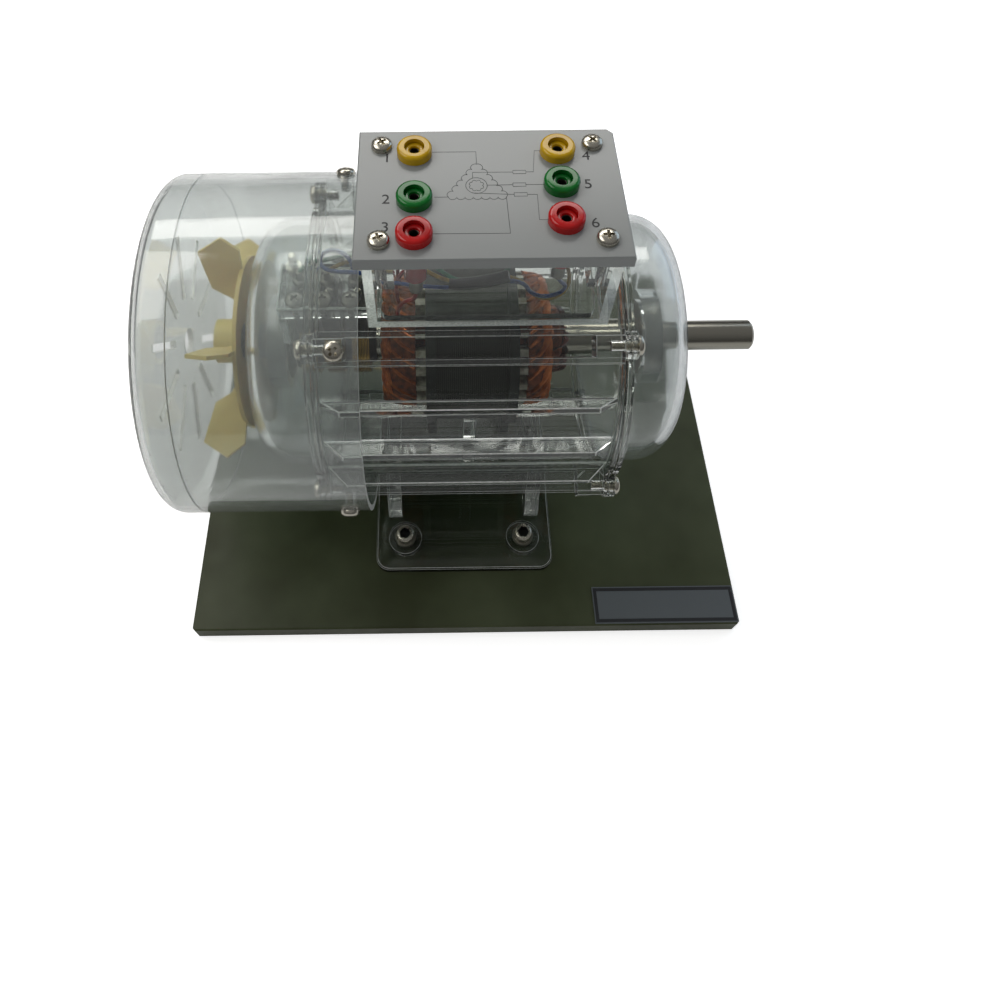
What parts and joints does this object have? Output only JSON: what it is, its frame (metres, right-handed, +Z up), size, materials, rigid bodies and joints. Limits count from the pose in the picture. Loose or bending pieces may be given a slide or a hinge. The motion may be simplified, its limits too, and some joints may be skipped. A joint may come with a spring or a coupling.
{
  "type": "demonstration electric motor",
  "caption": "Clear-cased wound-rotor teaching motor with slip rings, fan and terminal box on a dark base board.",
  "frame": {"origin": "middle of the underside of the base board", "axes": "+X along the shaft towards its output end, +Z up, -Y towards the label and the viewer"},
  "size_m": [0.308, 0.248, 0.2375],
  "materials": {
    "clear_acrylic": "clear polished acrylic",
    "milky_acrylic": "white translucent acrylic",
    "dark_board": "dark olive laminate, satin",
    "label_grey": "blank matt label with a dark border",
    "nickel_screw": "nickel plated",
    "shaft_steel": "ground",
    "bearing_steel": "ground, with shields",
    "lamination_steel": "dark grey laminated sheet",
    "liner_white": "white slot paper",
    "copper_enamel": "enamelled copper wire",
    "rotor_winding": "dark varnished winding",
    "ring_brass": "turned",
    "dark_insulator": "moulded, dark",
    "carbon": "carbon",
    "spring_steel": "bright wire",
    "fan_cream": "moulded, cream to ochre",
    "socket_yellow": "gloss yellow",
    "socket_green": "gloss green",
    "socket_red": "gloss red",
    "lead_wire": "insulated lead"
  },
  "bodies": {
    "frame": {"bar_bracket": "clear_acrylic", "bar_terminal": "nickel_screw", "base_board": "dark_board", "bearing_left_outer": "bearing_steel", "bearing_right_outer": "bearing_steel", "bell_flanges": "clear_acrylic", "brush_bar": "clear_acrylic", "brush_holders": "dark_insulator", "brush_spring_1": "spring_steel", "brush_spring_2": "spring_steel", "brush_spring_3": "spring_steel", "cooling_fins": "clear_acrylic", "corner_blocks": "clear_acrylic", "cowl_cap": "clear_acrylic", "cowl_screws": "nickel_screw", "ear_channels": "clear_acrylic", "end_bell_left": "clear_acrylic", "end_bell_right": "clear_acrylic", "fan_cowl": "clear_acrylic", "flange_screws": "nickel_screw", "foot_bolts": "nickel_screw", "foot_pads": "clear_acrylic", "foot_plate": "clear_acrylic", "foot_washers": "nickel_screw", "holder_caps": "nickel_screw", "housing_flanges": "clear_acrylic", "housing_tube": "clear_acrylic", "name_plate": "label_grey", "plate_screws": "nickel_screw", "rotor_leads": "lead_wire", "saddle_left": "clear_acrylic", "saddle_right": "clear_acrylic", "slot_liners": "liner_white", "socket_contacts": "nickel_screw", "socket_nuts": "nickel_screw", "sockets_green": "socket_green", "sockets_red": "socket_red", "sockets_yellow": "socket_yellow", "stator_coils_left": "copper_enamel", "stator_coils_right": "copper_enamel", "stator_core": "lamination_steel", "stator_cradle": "clear_acrylic", "stator_leads": "lead_wire", "stator_plate_left": "lamination_steel", "stator_plate_right": "lamination_steel", "terminal_box": "clear_acrylic", "terminal_plate": "milky_acrylic"},
    "rotor": {"shaft": "shaft_steel", "rotor_core": "lamination_steel", "rotor_coils_left": "rotor_winding", "rotor_coils_right": "rotor_winding", "ring_hub": "dark_insulator", "slip_rings": "ring_brass", "fan": "fan_cream", "fan_bush": "dark_insulator", "bearing_left_inner": "bearing_steel", "bearing_right_inner": "bearing_steel"},
    "brush_1": {"brush_1": "carbon"},
    "brush_2": {"brush_2": "carbon"},
    "brush_3": {"brush_3": "carbon"}
  },
  "joints": [
    {"name": "rotor_spin", "type": "hinge", "parent": "frame", "child": "rotor", "pos_m": [0, 0, 0.117], "axis": [1, 0, 0], "continuous": true},
    {"name": "brush_1_lift", "type": "slide", "parent": "frame", "child": "brush_1", "axis": [0, 0, 1], "range_m": [0, 0.003], "stiffness_N_per_m": 120, "springref_m": -0.004, "deforming": ["brush_spring_1"]},
    {"name": "brush_2_lift", "type": "slide", "parent": "frame", "child": "brush_2", "axis": [0, 0, 1], "range_m": [0, 0.003], "stiffness_N_per_m": 120, "springref_m": -0.004, "deforming": ["brush_spring_2"]},
    {"name": "brush_3_lift", "type": "slide", "parent": "frame", "child": "brush_3", "axis": [0, 0, 1], "range_m": [0, 0.003], "stiffness_N_per_m": 120, "springref_m": -0.004, "deforming": ["brush_spring_3"]}
  ]
}
